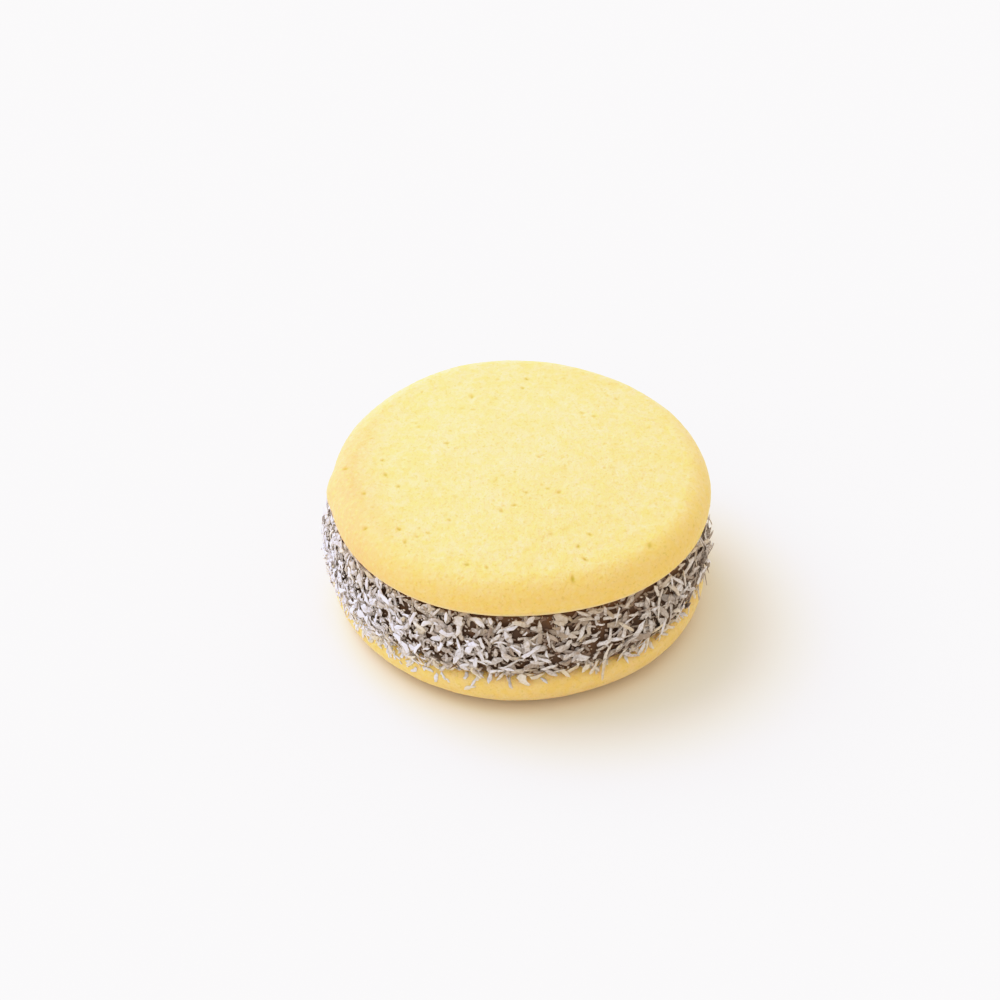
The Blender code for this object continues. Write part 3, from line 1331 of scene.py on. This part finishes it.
@dataclass
class FineCoconut(CoconutLayer):
    """Strands, shards and crumbs between and over the large flakes, thickest on the viewer's left, and
    painted paler there as painted light.
    """

    strands: FlakeCut = FlakeCut(
        count=1130,
        seed=24,
        length=(1.1 * MM, 3.9 * MM),
        width=(0.28 * MM, 0.76 * MM),
        thickness=(0.07 * MM, 0.15 * MM),
        tip=(0.25, 1.0),
        bow=(-0.09 * MM, 0.30 * MM),
        cup=(-0.012 * MM, 0.06 * MM),
        sweep=0.50 * MM,
        twist=1.0,
        lift=(math.radians(-2), math.radians(32)),
        sink=(-0.60 * MM, 0.05 * MM),
        tone=(0.05, 0.95),
        soaking=(0.0, 0.4),
    )
    # Small dark bits deep in the coat: soaked with caramel, and dark as painted shade in the gaps between
    # flakes
    bits: FlakeCut = FlakeCut(
        count=1600,
        seed=28,
        length=(0.5 * MM, 1.7 * MM),
        width=(0.30 * MM, 0.80 * MM),
        thickness=(0.08 * MM, 0.14 * MM),
        tip=(0.2, 0.9),
        bow=(-0.024 * MM, 0.08 * MM),
        cup=(-0.012 * MM, 0.06 * MM),
        sweep=0.25 * MM,
        twist=0.5,
        lift=(math.radians(-2), math.radians(14)),
        sink=(-0.15 * MM, 0.08 * MM),
        tone=(0.0, 0.5),
        soaking=(0.50, 0.95),
        scatter=0.1,
    )
    shards: FlakeCut = FlakeCut(
        count=370,
        seed=25,
        length=(1.3 * MM, 3.4 * MM),
        width=(0.70 * MM, 1.55 * MM),
        thickness=(0.07 * MM, 0.13 * MM),
        tip=(0.20, 0.85),
        bow=(-0.066 * MM, 0.22 * MM),
        cup=(-0.04 * MM, 0.20 * MM),
        sweep=0.20 * MM,
        twist=0.7,
        lift=(math.radians(-2), math.radians(28)),
        sink=(-0.65 * MM, -0.05 * MM),
        tone=(0.15, 0.9),
        soaking=(0.0, 0.3),
    )
    segments: int = 5
    rounds: int = 17
    even_step: float = 0.618034
    height_zone: Span = (0.02, 0.99)
    height_bias: float = 0.9
    lift_bias: float = 1.5
    tone_scatter: float = 0.45
    soaking_scatter: float = 0.6
    clearance: float = 0.04 * MM
    reach: float = 33.7 * MM

    # The side where the coat is thick and closely pressed; its coconut is also painted paler and less soaked
    # there, as painted light
    crowded_bearing: float = math.radians(-168)
    crowding: float = 0.45
    pressed_length: float = 0.45
    pressed_width: float = 0.25
    pressed_lift: float = 0.45
    pressed_twist: float = 0.6
    lit_side_painted_tone: float = 0.70
    lit_side_painted_dryness: float = 0.95
    pressed_build: float = 1.5 * MM
    pressed_reach: float = 0.8 * MM

    # The crumbs
    crumb_count: int = 1800
    crumb_seed: int = 26
    crumb_size: Span = (0.32 * MM, 0.85 * MM)
    crumb_bias: float = 1.5
    crumb_width: Span = (0.35, 0.8)
    crumb_thickness: Span = (0.25, 0.6)
    crumb_raggedness: Span = (0.75, 1.2)
    crumb_zone: Span = (0.03, 0.98)
    crumb_lift: float = 0.6
    crumb_rise: Span = (0.1 * MM, 0.45 * MM)
    # Crumbs go from the first span to the second towards the pressed side, paler there as painted light
    crumb_tone: tuple[Span, Span] = ((0.1, 0.9), (1.0, 1.3))
    crumb_warmth: Span = (0.0, 0.4)
    crumb_soaking: Span = (0.6, 0.05)

    # What sticks to the lower biscuit's edge
    strays: EdgeCut = EdgeCut(
        count=200,
        seed=27,
        zone=(1.4 * MM, 4.6 * MM),
        length=(0.7 * MM, 2.4 * MM),
        width=(0.30 * MM, 0.75 * MM),
        turn_spread=0.7,
        sink=0.04 * MM,
        tone=(1.0, 1.4),
    )
    hanging: EdgeCut = EdgeCut(
        count=60,
        seed=29,
        zone=(1.4 * MM, 2.9 * MM),
        length=(1.2 * MM, 2.6 * MM),
        width=(0.40 * MM, 0.85 * MM),
        turn_spread=0.55,
        sink=0.02 * MM,
        tone=(0.6, 1.3),
    )
    hanging_scatter: float = 0.8
    stray_bearing: float = math.radians(-143)
    stray_spread: float = 0.27
    stray_crumb_count: int = 50
    stray_crumb_size: Span = (0.40 * MM, 0.90 * MM)
    stray_crumb_shade: tuple[Span, Span, Span] = ((1.0, 1.4), (0.3, 0.9), (0.0, 0.0))

    def crowd(self, bearing: float) -> float:
        """Moves a bearing a little towards the side where the coat is thickest."""
        return bearing - self.crowding * math.sin(bearing - self.crowded_bearing)

    def pressed(self, bearing: float) -> float:
        """How thick and closely pressed the coat is at a bearing, from 0 to 1."""
        return max(math.cos(bearing - self.crowded_bearing), 0.0)

    def form(self, cut: FlakeCut, draw: random.Random, pressed: float) -> FlakeForm:
        """The form of one of the finer flakes.

        Args:
            cut: its kind.
            draw: the random draws.
            pressed: how closely the coat is pressed there.

        Returns:
            The form, most often nearly straight.
        """
        return FlakeForm(
            length=draw.uniform(*cut.length) * (1 - self.pressed_length * pressed),
            width=draw.uniform(*cut.width) * (1 + self.pressed_width * pressed),
            thickness=draw.uniform(*cut.thickness),
            tips=(draw.uniform(*cut.tip), draw.uniform(*cut.tip)),
            bow=draw.uniform(*cut.bow),
            cup=draw.uniform(*cut.cup),
            sweep=swing(draw, 1.0) ** 3 * cut.sweep,
            twist=swing(draw, cut.twist) * (1 - self.pressed_twist * pressed),
            fullness=draw.uniform(*cut.fullness),
            skews=(swing(draw, cut.skew), swing(draw, cut.skew)),
            ragged=draw.uniform(0, math.tau),
        )

    def scatter(self, pile: FlakePile, cut: FlakeCut) -> None:
        """Scatters finer flakes over the whole side, the deeper ones darker as painted shade, the palest of
        them farthest out.

        Args:
            pile: the pile that they join.
            cut: the kind of flake.
        """
        draw = random.Random(cut.seed)
        for number in range(cut.count):
            bearing = self.crowd(math.tau * (number + draw.random()) / cut.count * self.rounds)
            upward = (number * self.even_step + draw.uniform(0, cut.scatter)) % 1
            height = self.filling.height_at(between(self.height_zone, upward**self.height_bias))
            pressed = self.pressed(bearing)
            form = self.form(cut, draw, pressed)
            turn = swing(draw, math.pi)
            lift = between(cut.lift, draw.random() ** self.lift_bias) * (1 - self.pressed_lift * pressed)
            depth = draw.random()
            sink = between(cut.sink, depth) - self.pressed_build * pressed * draw.random()
            # Deeper flakes get a lower tone: painted shade in the coat's depth
            painted_depth_lightness = 1 - depth + swing(draw, self.tone_scatter)
            # The pressed side is painted paler: painted light from the left
            tone = between(cut.tone, min(max(painted_depth_lightness, 0), 1)) + self.lit_side_painted_tone * pressed
            soaking = between(cut.soaking, max(depth + draw.uniform(-self.soaking_scatter, 0), 0))
            # Less soaking on the pressed side keeps it paler there: painted light
            soaking *= 1 - self.lit_side_painted_dryness * pressed
            reach = self.reach + self.pressed_reach * pressed
            stand = Stand(bearing, height, turn, lift, form.length, sink)
            place = self.fitted(stand, form.corners(), self.clearance, reach)
            if place is not None:
                shade = self.shade(draw, height, tone, soaking)
                pile.add(moved(form.bend(pile.unit), place), *shade)

    def add_crumb(
        self, pile: FlakePile, draw: random.Random, place: Matrix, size: float, shade: tuple[Span, Span, Span]
    ) -> None:
        """Adds a ragged crumb.

        Args:
            pile: the crumbs.
            draw: the random draws.
            place: the crumb's matrix.
            size: its length.
            shade: the least and greatest tone, warmth and soaking.
        """
        spans = (self.crumb_width, self.crumb_thickness)
        stretch = np.array([size, *(size * draw.uniform(*span) for span in spans)])
        ragged = np.array([[draw.uniform(*self.crumb_raggedness) for _ in range(3)] for _ in pile.unit])
        pile.add(moved(pile.unit * stretch * ragged, place), *(draw.uniform(*span) for span in shade))

    def crumbs(self) -> FlakePile:
        """Scatters crumbs between the flakes.

        Returns:
            The pile.
        """
        mesh = bmesh.new()
        bmesh.ops.create_icosphere(mesh, subdivisions=1, radius=0.5)
        pile = FlakePile(FlakeKind.CRUMB, mesh_data(mesh, "lump"))
        draw = random.Random(self.crumb_seed)
        for _ in range(self.crumb_count):
            bearing = self.crowd(swing(draw, math.pi))
            height = self.filling.height_at(draw.uniform(*self.crumb_zone))
            size = between(self.crumb_size, draw.random() ** self.crumb_bias)
            turn = swing(draw, math.pi)
            lift = draw.uniform(0, self.crumb_lift)
            pressed = self.pressed(bearing)
            rise = draw.uniform(*self.crumb_rise) + self.pressed_build * pressed * draw.random()
            stand = Stand(bearing, height, turn, lift, 0.0, -rise)
            place = self.fitted(stand, [Vector()], size / 2, self.reach)
            if place is not None:
                # Crumbs are painted paler and less soaked on the pressed side: painted light
                tone = tuple(between(ends, pressed) for ends in self.crumb_tone)
                soaking = (0.0, between(self.crumb_soaking, pressed))
                self.add_crumb(pile, draw, place, size, (tone, self.crumb_warmth, soaking))
        return pile

    def on_lower_edge(self, bearing: float, along: float, turn: float, sink: float) -> Matrix:
        """A place on the lower biscuit's edge.

        Args:
            bearing: its bearing round the axis.
            along: its distance down the edge.
            turn: its direction, a quarter turn being straight down.
            sink: how deep it lies in the surface.

        Returns:
            The matrix.
        """
        point, away = self.lower.on_edge(bearing, along)
        round_edge = round_axis(bearing)
        down = round_edge.cross(away)
        ahead = round_edge * math.cos(turn) + down * math.sin(turn)
        turned = Matrix((ahead, away.cross(ahead), away)).transposed().to_4x4()
        return Matrix.Translation(point - away * sink) @ turned

    def add_edge_flake(
        self, pile: FlakePile, draw: random.Random, cut: EdgeCut, bearing: float, along: float, turn: float
    ) -> None:
        """Adds a flake that lies flat on the lower biscuit's edge.

        Args:
            pile: the pile that it joins.
            draw: the random draws.
            cut: the kind of flake.
            bearing: its bearing round the axis.
            along: its distance down the edge.
            turn: its direction, a quarter turn being straight down.
        """
        length = draw.uniform(*cut.length)
        form = FlakeForm(
            length=length,
            width=draw.uniform(*cut.width),
            thickness=draw.uniform(*cut.thickness),
            tips=(draw.uniform(*cut.tip), draw.uniform(*cut.tip)),
            sweep=swing(draw, cut.sweep) * length,
            fullness=draw.uniform(*cut.fullness),
            skews=(swing(draw, cut.skew), swing(draw, cut.skew)),
            ragged=draw.uniform(0, math.tau),
        )
        place = self.on_lower_edge(bearing, along, turn, cut.sink)
        shade = self.shade(draw, self.filling.low, draw.uniform(*cut.tone))
        pile.add(moved(form.bend(pile.unit), place), *shade)

    def stray_spot(self, draw: random.Random) -> Span:
        """The bearing and distance down the lower biscuit's edge of a stray, most often near the coat."""
        bearing = self.stray_bearing + draw.gauss(0, self.stray_spread)
        return bearing, between(self.strays.zone, draw.random() ** 2)

    def add_strays(self, strands: FlakePile, crumbs: FlakePile) -> None:
        """Adds small flakes and crumbs that stick to the lower biscuit's edge.

        Args:
            strands: the strands.
            crumbs: the crumbs.
        """
        draw = random.Random(self.strays.seed)
        for _ in range(self.strays.count):
            turn = math.pi / 2 + draw.gauss(0, self.strays.turn_spread)
            self.add_edge_flake(strands, draw, self.strays, *self.stray_spot(draw), turn)
        for _ in range(self.stray_crumb_count):
            turn = draw.uniform(0, math.pi)
            place = self.on_lower_edge(*self.stray_spot(draw), turn, 0.0)
            size = draw.uniform(*self.stray_crumb_size)
            self.add_crumb(crumbs, draw, place, size, self.stray_crumb_shade)

    def add_hanging(self, shards: FlakePile) -> None:
        """Adds larger flakes that hang from the coat's foot over the lower biscuit's edge.

        Args:
            shards: the shards.
        """
        draw = random.Random(self.hanging.seed)
        for number in range(self.hanging.count):
            bearing = math.tau * (number + swing(draw, self.hanging_scatter)) / self.hanging.count
            along = draw.uniform(*self.hanging.zone)
            turn = math.pi / 2 + draw.gauss(0, self.hanging.turn_spread)
            self.add_edge_flake(shards, draw, self.hanging, bearing, along, turn)

    def build(self, material: bpy.types.Material) -> None:
        """Makes each kind of finer coconut a piece.

        Args:
            material: the coconut's finish.
        """
        strands = FlakePile(FlakeKind.STRAND, self.strip(self.segments))
        self.scatter(strands, self.strands)
        self.scatter(strands, self.bits)
        shards = FlakePile(FlakeKind.SHARD, self.strip(self.segments))
        self.scatter(shards, self.shards)
        crumbs = self.crumbs()
        self.add_strays(strands, crumbs)
        self.add_hanging(shards)
        for pile in (strands, shards, crumbs):
            pile.finish(material)


@dataclass
class Studio:
    """A pale floor under soft white light, and the camera."""

    floor_size: float = 6.0
    floor_colour: Colour = (0.830, 0.757, 0.655)
    floor_roughness: float = 0.9
    floor_specular: float = 0.1
    sky_bright: Colour = (1.42, 1.46, 1.52)
    sky_dim: Colour = (0.81, 0.75, 0.62)
    sky_axis: tuple[float, float, float] = (-0.94, 0.34, 0.0)
    horizon_glow: float = 1.35
    horizon_top: float = 0.45
    key_strength: float = 1.5
    key_colour: Colour = (0.99, 1.0, 1.08)
    key_softness: float = math.radians(52)
    key_bearing: float = math.radians(148)
    key_elevation: float = math.radians(48)
    white_level: float = 1.3
    shoulder: tuple[Span, ...] = ((0.35, 0.35), (0.70, 0.70), (0.95, 0.90), (1.12, 0.95))
    brightest: float = 0.975
    red_balance: tuple[Span, ...] = ((0.45, 0.45), (1.19, 1.12), (1.30, 1.22))
    blue_balance: tuple[Span, ...] = ((0.45, 0.45), (0.72, 0.81), (0.925, 1.12), (1.30, 1.28))
    target_height: float = 13.56 * MM
    aim: tuple[float, float, float] = (-3.28 * MM, 3.44 * MM, 17.73 * MM)
    distance: float = 700 * MM
    elevation: float = math.radians(39.54)
    lens: float = 146.8
    sensor: float = 36.0
    nearest: float = 0.01

    def floor(self) -> None:
        """Lays the floor."""
        mesh = bmesh.new()
        bmesh.ops.create_grid(mesh, x_segments=1, y_segments=1, size=self.floor_size / 2)
        data = mesh_data(mesh, "floor")
        graph = FinishGraph("paper")
        graph.feed(graph.shader, {"Base Color": self.floor_colour, "Roughness": self.floor_roughness})
        graph.feed(graph.shader, {"Specular IOR Level": self.floor_specular})
        data.materials.append(graph.material)
        floor = bpy.data.objects.new("floor", data)
        bpy.context.scene.collection.objects.link(floor)

    def sky(self) -> None:
        """Makes a sky that is warmer and dimmer on the right, and brighter near the horizon."""
        world = bpy.data.worlds.new("studio")
        graph = NodeGraph(world)
        direction = graph.node("TexCoord").outputs["Generated"]
        along = graph.node("VectorMath")
        along.operation = "DOT_PRODUCT"
        graph.feed(along, {0: direction, 1: self.sky_axis})
        share = graph.node("MapRange")
        graph.feed(share, {"Value": along.outputs["Value"], "From Min": -1.0})
        parts = graph.node("SeparateXYZ")
        graph.feed(parts, {"Vector": direction})
        level = graph.node("MapRange")
        graph.feed(level, {"Value": parts.outputs["Z"], "From Max": self.horizon_top})
        graph.feed(level, {"To Min": self.horizon_glow, "To Max": 1.0})
        colour = graph.layered(self.sky_dim, ((share.outputs["Result"], self.sky_bright),))
        background = graph.tree.nodes["Background"]
        graph.feed(background, {"Color": colour, "Strength": level.outputs["Result"]})
        bpy.context.scene.world = world

    def key(self) -> None:
        """Hangs a broad key light on the far left."""
        lamp = bpy.data.lights.new("key", "SUN")
        lamp.energy = self.key_strength
        lamp.color = self.key_colour
        lamp.angle = self.key_softness
        key = bpy.data.objects.new("key", lamp)
        towards = polar(self.key_bearing, math.cos(self.key_elevation), math.sin(self.key_elevation))
        key.rotation_euler = towards.to_track_quat("Z", "Y").to_euler()
        bpy.context.scene.collection.objects.link(key)

    def camera(self) -> None:
        """Sets up the camera at the photograph's angle."""
        lens = bpy.data.cameras.new("camera")
        lens.lens = self.lens
        lens.sensor_width = self.sensor
        lens.clip_start = self.nearest
        camera = bpy.data.objects.new("camera", lens)
        back = Vector((0.0, -math.cos(self.elevation), math.sin(self.elevation)))
        camera.location = Vector((0.0, 0.0, self.target_height)) + back * self.distance
        looking = camera.location - Vector(self.aim)
        camera.rotation_euler = looking.to_track_quat("Z", "Y").to_euler()
        bpy.context.scene.collection.objects.link(camera)
        bpy.context.scene.camera = camera

    def exposure(self) -> None:
        """Rolls the brightest tones off gently and shows the warm floor white in full light."""
        view = bpy.context.scene.view_settings
        view.view_transform = "Standard"
        view.use_curve_mapping = True
        tones = view.curve_mapping
        tones.white_level = (self.white_level,) * 3
        for channel, balance in ((0, self.red_balance), (2, self.blue_balance)):
            curve = tones.curves[channel]
            for light, shown in balance[:-1]:
                curve.points.new(light / self.white_level, shown / self.white_level)
            curve.points[-1].location = (1.0, balance[-1][1] / self.white_level)
        curve = tones.curves[3]
        curve.points[-1].location = (1.0, self.brightest)
        for light, shown in self.shoulder:
            curve.points.new(light / self.white_level, shown)
        tones.update()

    def build(self) -> None:
        """Sets up everything around the alfajor."""
        self.floor()
        self.sky()
        self.key()
        self.camera()
        self.exposure()


def main() -> None:
    """Builds the alfajor and its studio."""
    logging.basicConfig(level=logging.INFO, format="%(asctime)s %(message)s")
    crumb = BiscuitFinish().material()
    lower = Biscuit(
        node="bottom_biscuit",
        facing=Facing.DOWN,
        radius=32.0 * MM,
        crown=8.7 * MM,
        spot_radius=14.0 * MM,
        waves=(Wave(3, 0.09 * MM, 32.0), Wave(5, 0.10 * MM, -33.0)),
        bulges=(Patch(-100, 14, 0.15 * MM),),
        browning_and_shade=(Patch(-150, 35, 0.5),),
        blush=(Patch(-160, 25, 0.3),),
        seed=31,
    )
    upper = Biscuit(
        node="top_biscuit",
        facing=Facing.UP,
        radius=32.5 * MM,
        crown=8.9 * MM,
        spot_radius=0.0,
        waves=(Wave(3, 0.37 * MM, -22.5), Wave(5, 0.14 * MM, 29.0)),
        bulges=(Patch(-177, 6, 0.75 * MM), Patch(180, 28, -0.45 * MM)),
        # The front right stretch is partly painted shade, the others browning
        browning_and_shade=(Patch(-152, 28, 0.34), Patch(-95, 42, 0.22), Patch(-30, 40, 0.35)),
        blush=(Patch(-174, 38, 1.7), Patch(60, 40, 0.3)),
        seed=5,
        large_pores=LARGE_PORES,
        # The upper biscuit's edge gets a painted highlight along its foot
        foot_highlight=0.6,
    )
    lower.build(crumb)
    upper.build(crumb)
    filling = Filling(lower, upper)
    filling.build(CaramelFinish().material())
    coconut = CoconutFinish().material()
    for layer in (LargeFlakes(filling, lower, upper), FineCoconut(filling, lower, upper)):
        layer.build(coconut)
    Studio().build()


if __name__ == "__main__":
    main()
